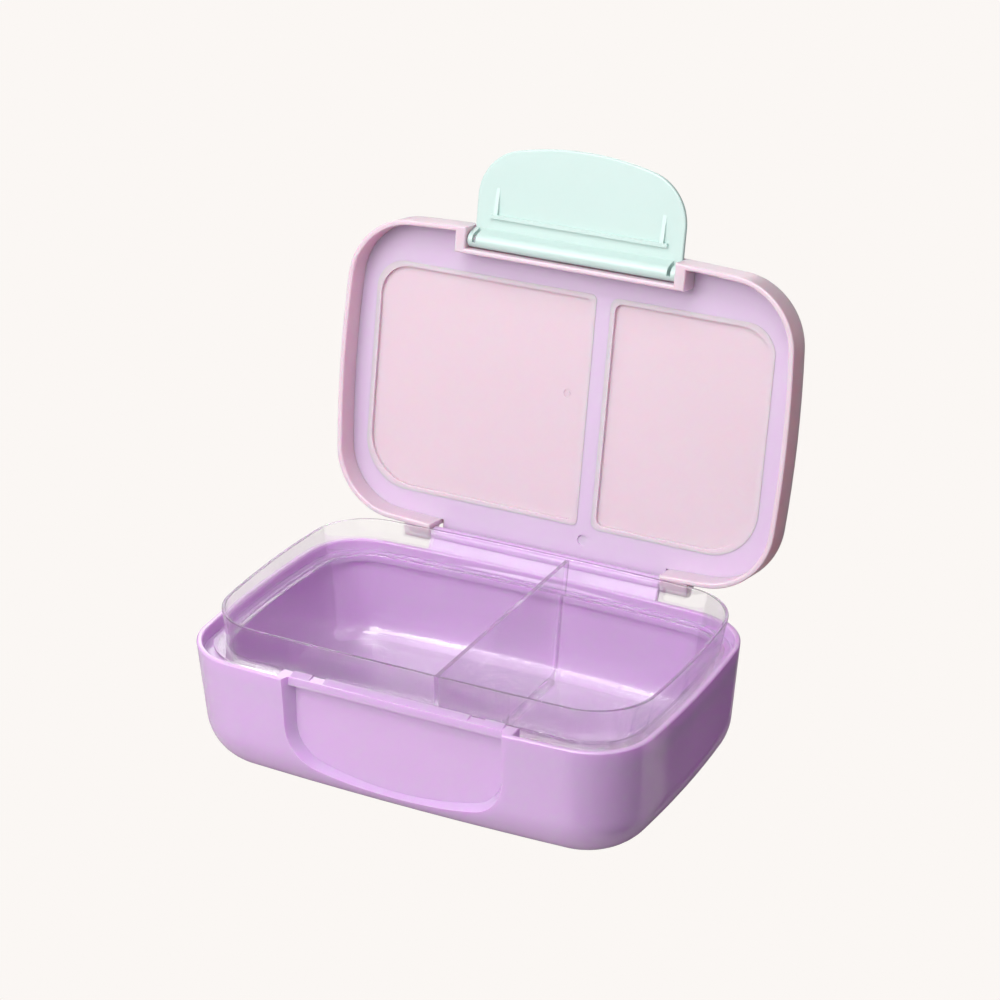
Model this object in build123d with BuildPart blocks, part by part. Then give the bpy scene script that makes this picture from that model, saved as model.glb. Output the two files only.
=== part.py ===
from build123d import *
from math import cos, radians, sin
import os

# Two-compartment bento lunch box, standing open: lid leaned back on its hinge, front clip swung out
# in line with the lid, clear tray seated in the base. Millimetres, +X right, -Y front (clip side),
# +Z up, origin at the centre of the base's underside.

# Base and lid share a rounded outline whose sides bow outwards: bows of ends, front and rear
half_width = 100.0
outline_bows = (3.6, 3.3, 3.3)

# Base tub
base_half_depth = 65.0
base_corner = 26.0
base_height = 52.7
base_draft = 2.3
base_foot_corner = 31.0
base_foot_fillet = 22.0
wall = 2.2
floor = 2.4
rim_fillet = 0.7
ledge_top = 47.4
ledge_height = 3.2

# D-shaped clip recess in the front of the base; its shape is measured down from the clip's axis
recess_half_width = 48.1
recess_heel = 1.0
recess_shoulder = 39.5
recess_tip = 48.8
recess_corner = 19.0
recess_depth = 7.2
recess_taper = 23.0
recess_backing = 1.8
recess_margin = 3.0
catch_bottom = 49.1
catch_half_width = 47.0
catch_setback = 4.0
catch_root = 7.6
lip_front = -60.6
lip_rear = -57.0
lip_rise = 0.9
lip_root = 1.4
lip_spans = [(-45.8, -37.5), (-31.5, 31.0), (37.5, 45.8)]

# Hinge along the back
open_angle = 100.0
hinge_y = 69.0
hinge_z = 57.7
hinge_half_length = 52.5
hinge_plate_thickness = 2.6
hinge_plate_root = (63.3, 48.7)
hinge_plate_head = (66.8, 55.8)
barrel_radius = 3.0
pin_radius = 1.25
pin_length = 21.0
pin_setback = 1.4
pin_play = 0.05
lug_inner = 53.0
lug_outer = 65.0
lug_radius = 3.2
lug_root_y = (64.2, 65.1)
lug_root_h = (0.3, 10.4)

# Lid
seat_gap = 0.2
lid_half_width = 101.0
lid_half_depth = 65.8
lid_centre_y = 1.5
lid_corner = 29.0
lid_height = 14.0
plate_thickness = 2.1
top_edge_fillet = 2.0
rear_cut_half = 52.8
rear_cut_y = (61.0, 72.0)
rear_tab_half = 52.4
rear_tab_end = 70.0
notch_half_width = 46.6
notch_side_wall = 4.6
notch_y = -54.6
notch_back_wall = 2.0
notch_roof = 2.5
peg_radius = 1.7
peg_length = 3.0

# Windows in the lid: x at the lid's end, x at the divider strip, corner radius at the strip
left_window = (-91.0, 9.8, 2.5)
right_window = (88.6, 16.2, 3.5)
window_front = -43.0
window_rear = 54.5
window_front_corner = 13.0
window_rear_corner = 21.0
ridge_width = 2.0
ridge_height = 1.6
seal_thickness = 1.4
seal_tab_half = 51.4
seal_tab_end = 68.7
dimple_at = (13.0, 60.0)
dimple_radius = 2.3
dimple_depth = 0.7
gate_mark_radius = 0.9
gate_mark_ring = 1.9
gate_mark_depth = 0.35

# Clip: axis in the lid's frame, then its own sizes, all measured from that axis
clip_axis_y = -58.2
clip_axis_h = 4.8
clip_barrel_radius = 3.2
clip_half_width = 46.2
clip_shoulder = 33.0
clip_tip = 41.6
clip_corner = 21.0
clip_plate_outer = -5.4
clip_plate_thickness = 2.2
clip_edge_fillet = 0.7
heel_length = 4.5
rib_start = 9.3
rib_thickness = 1.6
rib_depth = 1.4
rib_half_length = 39.5
gusset_x = 37.0
gusset_width = 1.6
gusset_reach = 11.0
gusset_heel = 0.4
slot_half_gap = 42.6
slot_width = 1.6
slot_span = (-0.8, 4.6)
socket_play = 0.1

# Ledge opening and clear tray outlines: half width, half depth, centre in Y, corner radius
ledge_opening = (94.4, 57.5, 2.9, 23.0)
tray_top = 63.0
tray_underside = 12.0
tray_wall = 1.4
tray_bows = (3.8, 1.0, 3.2)
tray_rim = (94.8, 57.9, 6.0, 25.5)
tray_collar_foot = (92.6, 56.1, 4.9, 23.0)
tray_flange = (96.6, 58.8, 3.2, 25.0)
tray_body_top = (91.2, 55.1, 4.5, 21.0)
tray_body_foot = (86.7, 50.1, 3.9, 18.0)
tray_foot_fillet = 8.0
divider_x = 13.0
divider_thickness = 1.8
divider_drop = 0.6
compartment_fillet = 3.0
tray_edge_fillet = 0.4


def bowed_loop(x_half, y_half, corner, bows, centre_y=0.0, mode=Mode.ADD):
    """Rounded rectangle with bowed sides, made a face of the open sketch."""
    end_bow, front_bow, rear_bow = bows
    x_end = x_half - end_bow
    y_front = centre_y - y_half + front_bow
    y_rear = centre_y + y_half - rear_bow
    with BuildLine() as loop:
        ThreePointArc((x_end, y_front), (x_half, centre_y), (x_end, y_rear))
        ThreePointArc((x_end, y_rear), (0, centre_y + y_half), (-x_end, y_rear))
        ThreePointArc((-x_end, y_rear), (-x_half, centre_y), (-x_end, y_front))
        ThreePointArc((-x_end, y_front), (0, centre_y - y_half), (x_end, y_front))
        fillet(loop.vertices(), corner)
    make_face(loop.edges(), mode=mode)


def base_outline(inset, corner):
    bowed_loop(half_width - inset, base_half_depth - inset, corner, outline_bows)


def lid_outline(inset):
    corner = lid_corner - inset
    bowed_loop(lid_half_width - inset, lid_half_depth - inset, corner, outline_bows, lid_centre_y)


def tray_outline(size, inset=0.0, mode=Mode.ADD):
    x_half, y_half, centre_y, corner = size
    bowed_loop(x_half - inset, y_half - inset, corner - inset, tray_bows, centre_y, mode)


def clip_shape(x_half, heel, shoulder, tip, corner):
    """D-shape: straight heel and sides, bowed tip, large rounded corners."""
    with BuildLine() as loop:
        Polyline((-x_half, shoulder), (-x_half, heel), (x_half, heel), (x_half, shoulder))
        ThreePointArc((x_half, shoulder), (0, tip), (-x_half, shoulder))
        fillet(loop.vertices().sort_by(Axis.Y)[2:], corner)
    make_face(loop.edges())


def window_shape(window, inset=0.0, mode=Mode.ADD):
    """One lid window: large corners at the lid's end, small ones at the divider strip."""
    x_end, x_strip, strip_corner = window
    inwards = inset if x_end < x_strip else -inset
    with BuildLine() as loop:
        FilletPolyline(
            (x_end + inwards, window_front + inset),
            (x_end + inwards, window_rear - inset),
            (x_strip - inwards, window_rear - inset),
            (x_strip - inwards, window_front + inset),
            radius=[window_front_corner, window_rear_corner, strip_corner, strip_corner],
            close=True,
        )
    make_face(loop.edges(), mode=mode)


def rectangle_between(x_range, y_range, mode=Mode.ADD):
    """Rectangle given by its limits along the sketch's two axes."""
    x_low, x_high = x_range
    y_low, y_high = y_range
    with Locations(((x_low + x_high) / 2, (y_low + y_high) / 2)):
        Rectangle(x_high - x_low, y_high - y_low, mode=mode)


# Frames of the moving pieces. In the lid's frame Y and Z read as on the shut lid, with Z measured
# up from its rim. In the clip's frame Y runs from the axis to the tip and Z towards its inner side.
swing = radians(open_angle)
rim_plane_z = base_height + seat_gap
hinge_h = hinge_z - rim_plane_z
lid_frame = Plane(
    origin=(
        0,
        hinge_y - hinge_y * cos(swing) - hinge_h * sin(swing),
        hinge_z + hinge_y * sin(swing) - hinge_h * cos(swing),
    ),
    x_dir=(1, 0, 0),
    z_dir=(0, sin(swing), cos(swing)),
)
lid_side = Plane(origin=lid_frame.origin, x_dir=lid_frame.y_dir, z_dir=(1, 0, 0))
clip_origin = lid_frame.from_local_coords(Vector(0, clip_axis_y, clip_axis_h))
clip_frame = Plane(origin=clip_origin, x_dir=(1, 0, 0), z_dir=-lid_frame.z_dir)
clip_side = Plane(origin=clip_origin, x_dir=clip_frame.y_dir, z_dir=(1, 0, 0))
front_face = Plane(
    origin=(0, -base_half_depth, rim_plane_z + clip_axis_h), x_dir=(1, 0, 0), z_dir=(0, 1, 0)
)

# ---------------------------------------------------------------- base tub
with BuildPart() as tub_cavity:
    with BuildSketch(Plane.XY.offset(floor)):
        base_outline(base_draft + wall, base_foot_corner - wall)
    with BuildSketch(Plane.XY.offset(base_height)):
        base_outline(wall, base_corner - wall)
    loft(ruled=True)
    fillet(tub_cavity.edges().group_by(Axis.Z)[0], base_foot_fillet - wall)
    # The wall steps inwards behind the recess
    with BuildSketch(front_face):
        clip_shape(
            recess_half_width + recess_margin,
            recess_heel,
            recess_shoulder + recess_margin,
            recess_tip + recess_margin,
            recess_corner + recess_margin,
        )
    extrude(amount=recess_depth + recess_backing, mode=Mode.SUBTRACT)
    # Ledge round the inside, which carries the tray's flange
    with BuildSketch(Plane.XY.offset(ledge_top - ledge_height)):
        base_outline(0, base_corner)
        tray_outline(ledge_opening, mode=Mode.SUBTRACT)
    extrude(amount=ledge_height, mode=Mode.SUBTRACT)

with BuildPart() as base_tub:
    with BuildSketch(Plane.XY):
        base_outline(base_draft, base_foot_corner)
    with BuildSketch(Plane.XY.offset(base_height)):
        base_outline(0, base_corner)
    loft(ruled=True)
    fillet(base_tub.edges().group_by(Axis.Z)[0], base_foot_fillet)
    add(tub_cavity.part, mode=Mode.SUBTRACT)
    fillet(base_tub.edges().group_by(Axis.Z)[-1], rim_fillet)
    with BuildSketch(front_face):
        clip_shape(recess_half_width, recess_heel, recess_shoulder, recess_tip, recess_corner)
    extrude(amount=recess_depth, taper=recess_taper, mode=Mode.SUBTRACT)
    # Catch rail along the top of the recess
    with BuildSketch(Plane.XY.offset(catch_bottom)):
        catch_front = -base_half_depth + catch_setback
        catch_rear = -base_half_depth + catch_root
        rectangle_between((-catch_half_width, catch_half_width), (catch_front, catch_rear))
    extrude(amount=base_height - catch_bottom)
    for lip_start, lip_end in lip_spans:
        with BuildSketch(Plane.YZ.offset(lip_start)):
            with BuildLine():
                Polyline(
                    (lip_front, base_height - lip_root),
                    (lip_front, base_height),
                    (lip_rear, base_height + lip_rise),
                    (lip_rear, base_height - lip_root),
                    close=True,
                )
            make_face()
        extrude(amount=lip_end - lip_start)
    # Hinge plate rising from the rear wall to a barrel
    with BuildSketch(Plane.YZ.offset(-hinge_half_length)):
        for end in (hinge_plate_root, hinge_plate_head):
            with Locations(end):
                Circle(hinge_plate_thickness / 2)
        make_hull()
        with Locations((hinge_y, hinge_z)):
            Circle(barrel_radius)
    extrude(amount=2 * hinge_half_length)
    for side in (-1, 1):
        with BuildSketch(Plane.YZ.offset(side * hinge_half_length)):
            with Locations((hinge_y, hinge_z)):
                Circle(pin_radius)
        pin_bore_depth = pin_length + pin_setback - lug_outer + hinge_half_length
        extrude(amount=-side * pin_bore_depth, mode=Mode.SUBTRACT)

# ---------------------------------------------------------------- hinge pins
pins = {}
for side, pin_name in ((-1, "hinge_pin_left"), (1, "hinge_pin_right")):
    with BuildPart() as hinge_pin:
        with BuildSketch(Plane.YZ.offset(side * (lug_outer - pin_setback))):
            with Locations((hinge_y, hinge_z)):
                Circle(pin_radius)
        extrude(amount=-side * pin_length)
        chamfer(hinge_pin.edges(), pin_radius / 5)
    pins[pin_name] = hinge_pin

# ---------------------------------------------------------------- clear tray
divider_side = divider_thickness / 2
with BuildPart() as tray_space:
    with BuildSketch(Plane.XY.offset(tray_underside + tray_wall)):
        tray_outline(tray_body_foot, tray_wall)
    with BuildSketch(Plane.XY.offset(ledge_top + tray_wall)):
        tray_outline(tray_body_top, tray_wall)
    loft(ruled=True)
    fillet(tray_space.edges().group_by(Axis.Z)[0], tray_foot_fillet - tray_wall)
    # The divider splits the space in two, with a rounded foot and ends
    with BuildSketch(Plane.YZ.offset(divider_x - divider_side)):
        rectangle_between((-base_half_depth, base_half_depth), (0, base_height))
    extrude(amount=divider_thickness, mode=Mode.SUBTRACT)
    for face_x in (divider_x - divider_side, divider_x + divider_side):
        divider_face = tray_space.faces().filter_by_position(Axis.X, face_x - 0.01, face_x + 0.01)[0]
        fillet(divider_face.edges().sort_by(Axis.Z)[:-1], compartment_fillet)
    with BuildSketch(Plane.XY.offset(ledge_top + tray_wall)):
        tray_outline(tray_collar_foot, tray_wall)
    with BuildSketch(Plane.XY.offset(tray_top)):
        tray_outline(tray_rim, tray_wall)
    loft(ruled=True)
    with BuildSketch(Plane.YZ.offset(divider_x - divider_side)):
        rectangle_between((-base_half_depth, base_half_depth), (ledge_top, tray_top - divider_drop))
    extrude(amount=divider_thickness, mode=Mode.SUBTRACT)

with BuildPart() as inner_tray:
    with BuildSketch(Plane.XY.offset(tray_underside)):
        tray_outline(tray_body_foot)
    with BuildSketch(Plane.XY.offset(ledge_top)):
        tray_outline(tray_body_top)
    loft(ruled=True)
    fillet(inner_tray.edges().group_by(Axis.Z)[0], tray_foot_fillet)
    with BuildSketch(Plane.XY.offset(ledge_top)):
        tray_outline(tray_flange)
    extrude(amount=tray_wall)
    with BuildSketch(Plane.XY.offset(ledge_top + tray_wall)):
        tray_outline(tray_collar_foot)
    with BuildSketch(Plane.XY.offset(tray_top)):
        tray_outline(tray_rim)
    loft(ruled=True)
    add(tray_space.part, mode=Mode.SUBTRACT)
    fillet(inner_tray.edges().group_by(Axis.Z)[-1], tray_edge_fillet)

# ---------------------------------------------------------------- lid shell
lid_depth_axis = Axis(lid_frame.origin, lid_frame.z_dir)
with BuildPart() as lid_shell:
    with BuildSketch(lid_frame):
        lid_outline(0)
    extrude(amount=lid_height)
    with BuildSketch(lid_frame.offset(lid_height - plate_thickness)):
        rectangle_between((-rear_tab_half, rear_tab_half), (0, rear_tab_end))
    extrude(amount=plate_thickness)
    fillet(lid_shell.edges().group_by(lid_depth_axis)[-1], top_edge_fillet)
    notch_block = (-notch_half_width - notch_side_wall, notch_half_width + notch_side_wall)
    notch_front = lid_centre_y - lid_half_depth
    with BuildSketch(lid_frame):
        lid_outline(wall)
        rectangle_between(notch_block, (notch_front, notch_y + notch_back_wall), mode=Mode.SUBTRACT)
    extrude(amount=lid_height - plate_thickness, mode=Mode.SUBTRACT)
    with BuildSketch(lid_frame):
        rectangle_between((-notch_half_width, notch_half_width), (notch_front, notch_y))
    extrude(amount=lid_height - notch_roof, mode=Mode.SUBTRACT)
    with BuildSketch(lid_frame):
        rectangle_between((-rear_cut_half, rear_cut_half), rear_cut_y)
    extrude(amount=lid_height - plate_thickness, mode=Mode.SUBTRACT)
    fillet(lid_shell.edges().group_by(lid_depth_axis)[0], rim_fillet)
    with BuildSketch(lid_frame.offset(lid_height - plate_thickness - ridge_height)):
        for window in (left_window, right_window):
            window_shape(window)
            window_shape(window, inset=ridge_width, mode=Mode.SUBTRACT)
    extrude(amount=ridge_height)
    with BuildSketch(lid_frame.offset(lid_height - plate_thickness)):
        Circle(gate_mark_ring)
        Circle(gate_mark_radius, mode=Mode.SUBTRACT)
    extrude(amount=gate_mark_depth, mode=Mode.SUBTRACT)
    for side in (-1, 1):
        # Hinge lug with its pin hole
        with BuildSketch(lid_side.offset(side * lug_inner)):
            with Locations((hinge_y, hinge_h)):
                Circle(lug_radius)
            rectangle_between(lug_root_y, lug_root_h)
            make_hull()
            with Locations((hinge_y, hinge_h)):
                Circle(pin_radius + pin_play, mode=Mode.SUBTRACT)
        extrude(amount=side * (lug_outer - lug_inner))
        # Moulded peg that the clip snaps onto
        with BuildSketch(lid_side.offset(side * notch_half_width)):
            with Locations((clip_axis_y, clip_axis_h)):
                Circle(peg_radius)
        extrude(amount=-side * peg_length)

# ---------------------------------------------------------------- lid seal
with BuildPart() as lid_seal:
    with BuildSketch(lid_frame.offset(lid_height - plate_thickness - seal_thickness)):
        lid_outline(wall)
        rectangle_between((-seal_tab_half, seal_tab_half), (0, seal_tab_end))
        rectangle_between(notch_block, (notch_front, notch_y + notch_back_wall), mode=Mode.SUBTRACT)
        for window in (left_window, right_window):
            window_shape(window, mode=Mode.SUBTRACT)
    extrude(amount=seal_thickness)
    with BuildSketch(lid_frame.offset(lid_height - plate_thickness - seal_thickness)):
        with Locations(dimple_at):
            Circle(dimple_radius)
    extrude(amount=dimple_depth, mode=Mode.SUBTRACT)

# ---------------------------------------------------------------- clip
with BuildPart() as clip:
    with BuildSketch(clip_frame.offset(clip_plate_outer)):
        clip_shape(clip_half_width, -clip_barrel_radius, clip_shoulder, clip_tip, clip_corner)
    extrude(amount=clip_plate_thickness)
    fillet(clip.edges().filter_by(clip_frame), clip_edge_fillet)
    with BuildSketch(clip_side.offset(-clip_half_width)):
        Circle(clip_barrel_radius)
        rectangle_between(
            (-clip_barrel_radius + clip_edge_fillet, heel_length),
            (clip_plate_outer + clip_edge_fillet, clip_plate_outer + clip_plate_thickness),
        )
        make_hull()
    extrude(amount=2 * clip_half_width)
    plate_inner = clip_plate_outer + clip_plate_thickness
    with BuildSketch(clip_frame.offset(plate_inner)):
        rectangle_between((-rib_half_length, rib_half_length), (rib_start, rib_start + rib_thickness))
    extrude(amount=rib_depth)
    for side in (-1, 1):
        with BuildSketch(clip_side.offset(side * gusset_x - gusset_width / 2)):
            with BuildLine():
                Polyline(
                    (rib_start - gusset_heel, plate_inner),
                    (rib_start, plate_inner + rib_depth),
                    (rib_start + rib_thickness, plate_inner + rib_depth),
                    (rib_start + rib_thickness + gusset_reach, plate_inner),
                    close=True,
                )
            make_face()
        extrude(amount=gusset_width)
        # Slot that lets the barrel's end spring over the peg, and the peg's socket
        with BuildSketch(clip_side.offset(side * slot_half_gap)):
            rectangle_between(slot_span, (plate_inner, clip_barrel_radius))
        extrude(amount=side * slot_width, mode=Mode.SUBTRACT)
        with BuildSketch(clip_side.offset(side * clip_half_width)):
            Circle(peg_radius + socket_play)
        socket_length = clip_half_width - notch_half_width + peg_length + socket_play
        extrude(amount=-side * socket_length, mode=Mode.SUBTRACT)

# ---------------------------------------------------------------- output
os.makedirs("parts", exist_ok=True)
base_tub.part.label = "base_tub"
inner_tray.part.label = "inner_tray"
lid_shell.part.label = "lid_shell"
lid_seal.part.label = "lid_seal"
clip.part.label = "clip"
export_step(base_tub.part, "parts/base_tub.step")
export_step(inner_tray.part, "parts/inner_tray.step")
export_step(lid_shell.part, "parts/lid_shell.step")
export_step(lid_seal.part, "parts/lid_seal.step")
export_step(clip.part, "parts/clip.step")
for pin_name, hinge_pin in pins.items():
    hinge_pin.part.label = pin_name
    export_step(hinge_pin.part, f"parts/{pin_name}.step")
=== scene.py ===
import math

import bpy
from mathutils import Matrix, Vector

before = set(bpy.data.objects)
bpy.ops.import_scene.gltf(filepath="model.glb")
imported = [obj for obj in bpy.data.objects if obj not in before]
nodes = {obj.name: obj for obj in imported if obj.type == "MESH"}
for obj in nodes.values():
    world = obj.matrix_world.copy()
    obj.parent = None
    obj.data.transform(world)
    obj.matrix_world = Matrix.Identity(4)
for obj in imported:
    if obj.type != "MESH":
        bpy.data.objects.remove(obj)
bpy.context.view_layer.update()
scene = bpy.context.scene

# Noise scales, per metre: clouds of colour, smears of gloss, moulding waves, satin grain
cloud_scale = 18.0
smear_scale = 55.0
wave_scale = 26.0
grain_scale = 2600.0
# The part of its range that a noise really fills
noise_range = (0.1, 0.9)
# Height of the waves and of the grain at full strength, in metres
wave_height = 0.001
grain_height = 0.0002
# Share by which a plastic's roughness strays from its middle, each way
rough_stray = 0.15
plastic_ior = 1.49
plastic_specular = 0.8
glow_depth = 0.008
violet_bleed = (1.0, 0.25, 1.0)
pink_bleed = (1.0, 0.3, 0.5)
mint_bleed = (0.4, 1.0, 0.9)

# Clear tray: the veil is the least share of light that goes straight through
tray_veil = 0.3
tray_ior = 1.5
tray_tint = (0.995, 0.99, 0.995, 1.0)
tray_shadow_tint = (0.985, 0.98, 0.985, 1.0)
tray_smear_scale = 40.0
tray_wave_scale = 22.0
tray_wave = 0.01
tray_roughness = (0.0, 0.04)

# Steel pins
steel_scale = 1500.0
steel_dark = (0.52, 0.52, 0.54)
steel_pale = (0.66, 0.66, 0.68)
steel_roughness = (0.29, 0.42)

# Stage: half the floor's width, how pale it is to the light, and where the dark cards of painted
# shade lie
floor_reach = 20.0
floor_share = 0.5
card_height = 0.0006
# Colour of the dark cards: painted shade for the box's right end to mirror
painted_shade_colour = (0.02, 0.015, 0.02, 1.0)
lamp_target = (0.0, 0.02, 0.08)

# Sky: its bright side, how far it reaches round, and its strength at the dim and bright ends
sky_bright_side = (-0.5, -0.85, 0.1)
sky_turn = (-0.5, 0.8)
sky_strength = (0.15, 0.8)

# Camera: place in metres, angles in degrees, lens in millimetres
camera_place = (0.47153, -0.88807, 0.57533)
camera_azimuth = 27.256
camera_elevation = 24.726
camera_lens = 103.06
camera_sensor = 36.0
camera_clip_start = 0.01


# ---------------------------------------------------------------- colours and materials
def linear(red, green, blue):
    """Linear colour from 8-bit display values."""
    parts = [value / 255 for value in (red, green, blue)]
    return [v / 12.92 if v <= 0.04045 else ((v + 0.055) / 1.055) ** 2.4 for v in parts]


def new_material(name):
    """New material: returns it with its nodes, its links, its principled shader and its output."""
    material = bpy.data.materials.new(name)
    material.use_nodes = True
    tree = material.node_tree
    shader = next(node for node in tree.nodes if node.type == "BSDF_PRINCIPLED")
    output = next(node for node in tree.nodes if node.type == "OUTPUT_MATERIAL")
    return material, tree.nodes, tree.links, shader, output


def noise(tree_nodes, links, scale, detail, roughness=0.5):
    """Noise in object space, in metres, so that its grain keeps its size on every piece."""
    place = tree_nodes.new("ShaderNodeTexCoord")
    texture = tree_nodes.new("ShaderNodeTexNoise")
    texture.inputs["Scale"].default_value = scale
    texture.inputs["Detail"].default_value = detail
    texture.inputs["Roughness"].default_value = roughness
    links.new(place.outputs["Object"], texture.inputs["Vector"])
    return texture.outputs["Fac"]


def spread(tree_nodes, links, value, low, high):
    """Maps the middle of a noise to the range low to high."""
    ranged = tree_nodes.new("ShaderNodeMapRange")
    ranged.inputs["From Min"].default_value = noise_range[0]
    ranged.inputs["From Max"].default_value = noise_range[1]
    ranged.inputs["To Min"].default_value = low
    ranged.inputs["To Max"].default_value = high
    links.new(value, ranged.inputs["Value"])
    return ranged.outputs["Result"]


def blend_colours(tree_nodes, links, share, low, high):
    """Colour between low and high, by a share of 0 to 1."""
    tint = tree_nodes.new("ShaderNodeMix")
    tint.data_type = "RGBA"
    tint.inputs["A"].default_value = (*low, 1.0)
    tint.inputs["B"].default_value = (*high, 1.0)
    links.new(share, tint.inputs["Factor"])
    return tint.outputs["Result"]


def relief(tree_nodes, links, texture, strength, height):
    """Bump node that raises a texture by a height in metres, times a strength."""
    bump = tree_nodes.new("ShaderNodeBump")
    bump.inputs["Strength"].default_value = strength
    bump.inputs["Distance"].default_value = height
    links.new(texture, bump.inputs["Height"])
    return bump


def moulded_plastic(name, colour, deep, rough, glow, wave, grain, bleed):
    """Moulded plastic: faint clouds of colour, soft waves, a satin grain and light inside it."""
    material, tree_nodes, links, shader, _ = new_material(name)
    cloud = noise(tree_nodes, links, cloud_scale, 2.0)
    share = spread(tree_nodes, links, cloud, 0.0, 1.0)
    links.new(blend_colours(tree_nodes, links, share, deep, colour), shader.inputs["Base Color"])
    smear = noise(tree_nodes, links, smear_scale, 5.0, 0.6)
    low, high = rough * (1 - rough_stray), rough * (1 + rough_stray)
    links.new(spread(tree_nodes, links, smear, low, high), shader.inputs["Roughness"])
    long_waves = noise(tree_nodes, links, wave_scale, 1.0)
    first = relief(tree_nodes, links, long_waves, wave, wave_height)
    fine_grain = noise(tree_nodes, links, grain_scale, 2.0)
    second = relief(tree_nodes, links, fine_grain, grain, grain_height)
    links.new(first.outputs["Normal"], second.inputs["Normal"])
    links.new(second.outputs["Normal"], shader.inputs["Normal"])
    shader.inputs["IOR"].default_value = plastic_ior
    shader.inputs["Specular IOR Level"].default_value = plastic_specular
    shader.inputs["Subsurface Weight"].default_value = glow
    shader.inputs["Subsurface Radius"].default_value = bleed
    shader.inputs["Subsurface Scale"].default_value = glow_depth
    return material


def clear_plastic():
    """Clear tray: smooth, faintly uneven clear plastic that lets lamps and bounced light through."""
    material, tree_nodes, links, shader, output = new_material("clear_plastic")
    ray = tree_nodes.new("ShaderNodeLightPath")
    light = tree_nodes.new("ShaderNodeMath")
    light.operation = "MAXIMUM"
    links.new(ray.outputs["Is Shadow Ray"], light.inputs[0])
    links.new(ray.outputs["Is Diffuse Ray"], light.inputs[1])
    share = tree_nodes.new("ShaderNodeMath")
    share.operation = "MAXIMUM"
    share.inputs[1].default_value = tray_veil
    links.new(light.outputs["Value"], share.inputs[0])
    through = tree_nodes.new("ShaderNodeBsdfTransparent")
    through.inputs["Color"].default_value = tray_shadow_tint
    mix = tree_nodes.new("ShaderNodeMixShader")
    links.new(share.outputs["Value"], mix.inputs["Fac"])
    links.new(shader.outputs["BSDF"], mix.inputs[1])
    links.new(through.outputs["BSDF"], mix.inputs[2])
    links.new(mix.outputs["Shader"], output.inputs["Surface"])
    shader.inputs["Base Color"].default_value = tray_tint
    shader.inputs["Transmission Weight"].default_value = 1.0
    shader.inputs["IOR"].default_value = tray_ior
    smear = noise(tree_nodes, links, tray_smear_scale, 3.0)
    links.new(spread(tree_nodes, links, smear, *tray_roughness), shader.inputs["Roughness"])
    waves = noise(tree_nodes, links, tray_wave_scale, 1.0)
    bump = relief(tree_nodes, links, waves, tray_wave, wave_height)
    links.new(bump.outputs["Normal"], shader.inputs["Normal"])
    return material


def pin_steel():
    """Steel with a fine uneven grain."""
    material, tree_nodes, links, shader, _ = new_material("pin_steel")
    shader.inputs["Metallic"].default_value = 1.0
    grain = noise(tree_nodes, links, steel_scale, 2.0)
    tint = blend_colours(tree_nodes, links, grain, steel_dark, steel_pale)
    links.new(tint, shader.inputs["Base Color"])
    links.new(spread(tree_nodes, links, grain, *steel_roughness), shader.inputs["Roughness"])
    return material


def dress(node_name, material):
    """Gives a CAD node its finish."""
    for slot in nodes[node_name].material_slots:
        slot.link = "DATA"
        slot.material = material


base_plastic = moulded_plastic(
    "base_plastic",
    colour=(0.55, 0.39, 0.63),
    deep=(0.53, 0.37, 0.61),
    rough=0.16,
    glow=0.6,
    wave=0.02,
    grain=0.02,
    bleed=violet_bleed,
)
lid_plastic = moulded_plastic(
    "lid_plastic",
    colour=(0.62, 0.51, 0.575),
    deep=(0.605, 0.495, 0.56),
    rough=0.36,
    glow=0.6,
    wave=0.04,
    grain=0.03,
    bleed=pink_bleed,
)
seal_rubber = moulded_plastic(
    "seal_rubber",
    colour=(0.62, 0.455, 0.67),
    deep=(0.60, 0.435, 0.65),
    rough=0.4,
    glow=0.3,
    wave=0.05,
    grain=0.05,
    bleed=violet_bleed,
)
clip_plastic = moulded_plastic(
    "clip_plastic",
    colour=(0.50, 0.63, 0.61),
    deep=(0.48, 0.62, 0.59),
    rough=0.34,
    glow=0.1,
    wave=0.05,
    grain=0.02,
    bleed=mint_bleed,
)
steel = pin_steel()
dress("base_tub", base_plastic)
dress("inner_tray", clear_plastic())
dress("lid_shell", lid_plastic)
dress("lid_seal", seal_rubber)
dress("clip", clip_plastic)
dress("hinge_pin_left", steel)
dress("hinge_pin_right", steel)


# ---------------------------------------------------------------- floor, sky, lights, camera
pale = linear(251, 247, 244)


def painted_shade_material():
    """Painted shade: nearly black, and the same in any light."""
    material, tree_nodes, links, _, output = new_material("painted_shade_card")
    glow = tree_nodes.new("ShaderNodeEmission")
    glow.inputs["Color"].default_value = painted_shade_colour
    links.new(glow.outputs["Emission"], output.inputs["Surface"])
    return material


def flat_card(name, outline, height, material, seen):
    """Level card, not part of the object. An unseen one shows only where something mirrors it."""
    mesh = bpy.data.meshes.new(name)
    mesh.from_pydata([(x, y, height) for x, y in outline], [], [tuple(range(len(outline)))])
    mesh.materials.append(material)
    card = bpy.data.objects.new(name, mesh)
    scene.collection.objects.link(card)
    card.visible_camera = seen
    card.visible_transmission = seen


def soft_light(name, size_x, size_y, place, power):
    """Rectangular lamp of a size in metres and a power in watts, aimed at the middle of the box."""
    lamp = bpy.data.lights.new(name, "AREA")
    lamp.shape = "RECTANGLE"
    lamp.size = size_x
    lamp.size_y = size_y
    lamp.energy = power
    light = bpy.data.objects.new(name, lamp)
    scene.collection.objects.link(light)
    light.location = place
    light.rotation_euler = (Vector(place) - Vector(lamp_target)).to_track_quat("Z", "Y").to_euler()
    light.visible_camera = False


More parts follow.
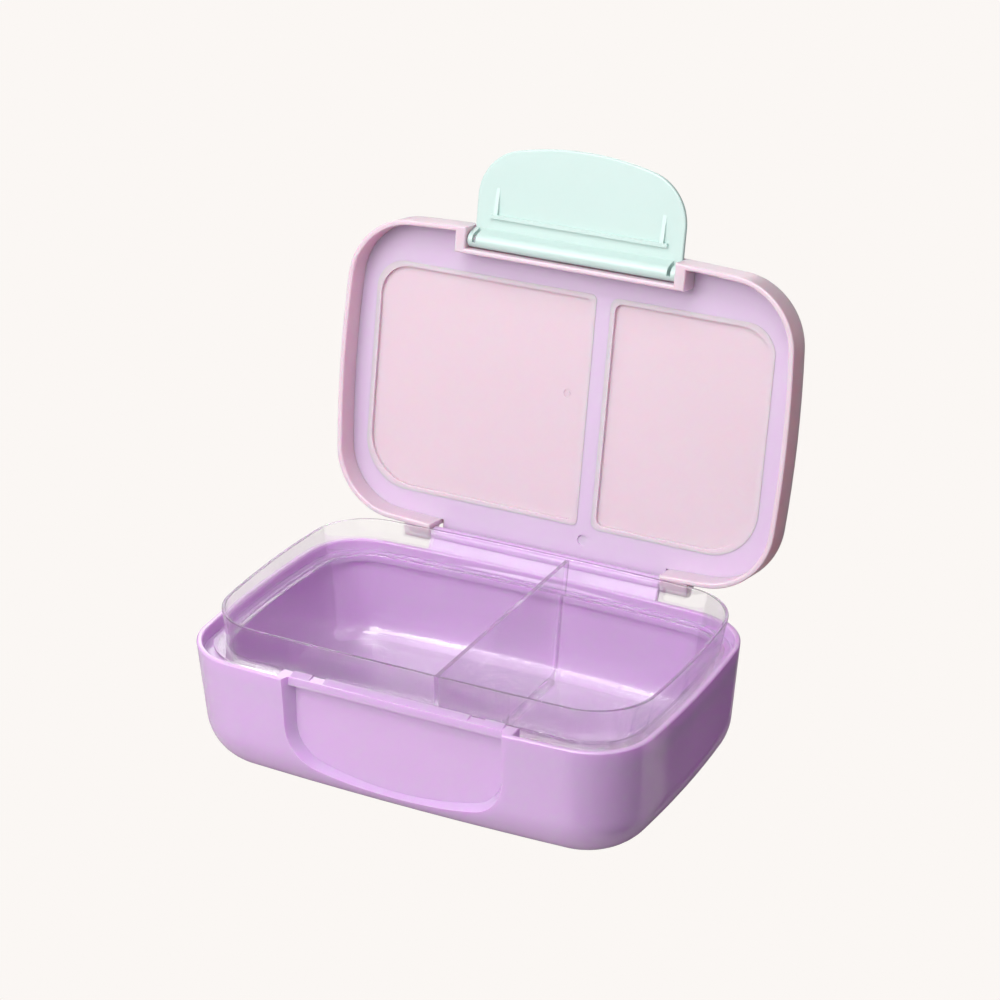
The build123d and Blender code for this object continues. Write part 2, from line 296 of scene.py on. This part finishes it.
def seen_by_camera(tree, others, camera_side, output):
    """Sends one shader to the camera, also through the clear tray, and another to every other ray."""
    ray = tree.nodes.new("ShaderNodeLightPath")
    sight = tree.nodes.new("ShaderNodeMath")
    sight.operation = "MAXIMUM"
    tree.links.new(ray.outputs["Is Camera Ray"], sight.inputs[0])
    tree.links.new(ray.outputs["Is Transmission Ray"], sight.inputs[1])
    mix = tree.nodes.new("ShaderNodeMixShader")
    tree.links.new(sight.outputs["Value"], mix.inputs["Fac"])
    tree.links.new(others, mix.inputs[1])
    tree.links.new(camera_side, mix.inputs[2])
    tree.links.new(mix.outputs["Shader"], output.inputs["Surface"])


# Floor: one plain pale tone to the camera, a matt and darker surface to every other ray
floor_material, floor_nodes, _, floor_shader, floor_out = new_material("floor")
floor_shader.inputs["Base Color"].default_value = (*[floor_share * v for v in pale], 1.0)
floor_shader.inputs["Roughness"].default_value = 0.9
floor_shader.inputs["Specular IOR Level"].default_value = 0.0
floor_seen = floor_nodes.new("ShaderNodeEmission")
floor_seen.inputs["Color"].default_value = (*pale, 1.0)
seen_by_camera(
    floor_material.node_tree,
    floor_shader.outputs["BSDF"],
    floor_seen.outputs["Emission"],
    floor_out,
)
floor_outline = [(x * floor_reach, y * floor_reach) for x, y in ((-1, -1), (1, -1), (1, 1), (-1, 1))]
flat_card("floor", floor_outline, 0.0, floor_material, seen=True)

# Sky: bright from the front and the left, dim from the right and the back
world = bpy.data.worlds.new("studio")
scene.world = world
world.use_nodes = True
sky = world.node_tree
sky.nodes.clear()
sky_out = sky.nodes.new("ShaderNodeOutputWorld")
sky_place = sky.nodes.new("ShaderNodeTexCoord")
sky_side = sky.nodes.new("ShaderNodeVectorMath")
sky_side.operation = "DOT_PRODUCT"
sky_side.inputs[1].default_value = sky_bright_side
sky.links.new(sky_place.outputs["Generated"], sky_side.inputs[0])
sky_range = sky.nodes.new("ShaderNodeMapRange")
sky_range.interpolation_type = "SMOOTHSTEP"
sky_range.inputs["From Min"].default_value = sky_turn[0]
sky_range.inputs["From Max"].default_value = sky_turn[1]
sky_range.inputs["To Min"].default_value = sky_strength[0]
sky_range.inputs["To Max"].default_value = sky_strength[1]
sky.links.new(sky_side.outputs["Value"], sky_range.inputs["Value"])
sky_light = sky.nodes.new("ShaderNodeBackground")
sky_light.inputs["Color"].default_value = (*pale, 1.0)
sky.links.new(sky_range.outputs["Result"], sky_light.inputs["Strength"])
sky_seen = sky.nodes.new("ShaderNodeBackground")
sky_seen.inputs["Color"].default_value = (*pale, 1.0)
seen_by_camera(sky, sky_light.outputs["Background"], sky_seen.outputs["Background"], sky_out)

soft_light("key", 1.5, 1.1, (-0.35, -1.6, 1.15), 22)
soft_light("top", 0.9, 0.6, (0.0, -0.7, 1.5), 11)
soft_light("strip", 1.5, 0.07, (-0.79, -1.4, 0.95), 4)
soft_light("back", 1.2, 0.9, (-0.8, 1.5, 0.85), 11)
soft_light("fill", 0.7, 0.7, (1.3, -0.35, 0.9), 2.2)

# Dark cards of painted shade on the floor in front of the box and beside it, which its right end
# mirrors as a painted dark reflection
shade_card_material = painted_shade_material()
front_shade_outline = [(0.05, -0.15), (0.4, -0.4), (0.4, 0.12), (0.1, -0.045)]
side_shade_outline = [(0.102, -0.012), (0.6, 0.75), (0.102, 0.75)]
flat_card("front_painted_shade", front_shade_outline, card_height, shade_card_material, seen=False)
flat_card("side_painted_shade", side_shade_outline, card_height, shade_card_material, seen=False)

# Camera: in front of the box and to its right, level, looking down
camera_data = bpy.data.cameras.new("camera")
camera_data.lens = camera_lens
camera_data.sensor_width = camera_sensor
camera_data.clip_start = camera_clip_start
camera = bpy.data.objects.new("camera", camera_data)
scene.collection.objects.link(camera)
azimuth, elevation = math.radians(camera_azimuth), math.radians(camera_elevation)
back = Vector(
    (
        math.sin(azimuth) * math.cos(elevation),
        -math.cos(azimuth) * math.cos(elevation),
        math.sin(elevation),
    )
)
right = Vector((math.cos(azimuth), math.sin(azimuth), 0.0))
turn = Matrix((right, back.cross(right), back)).transposed().to_4x4()
camera.matrix_world = Matrix.Translation(camera_place) @ turn
scene.camera = camera
scene.view_settings.view_transform = "Standard"
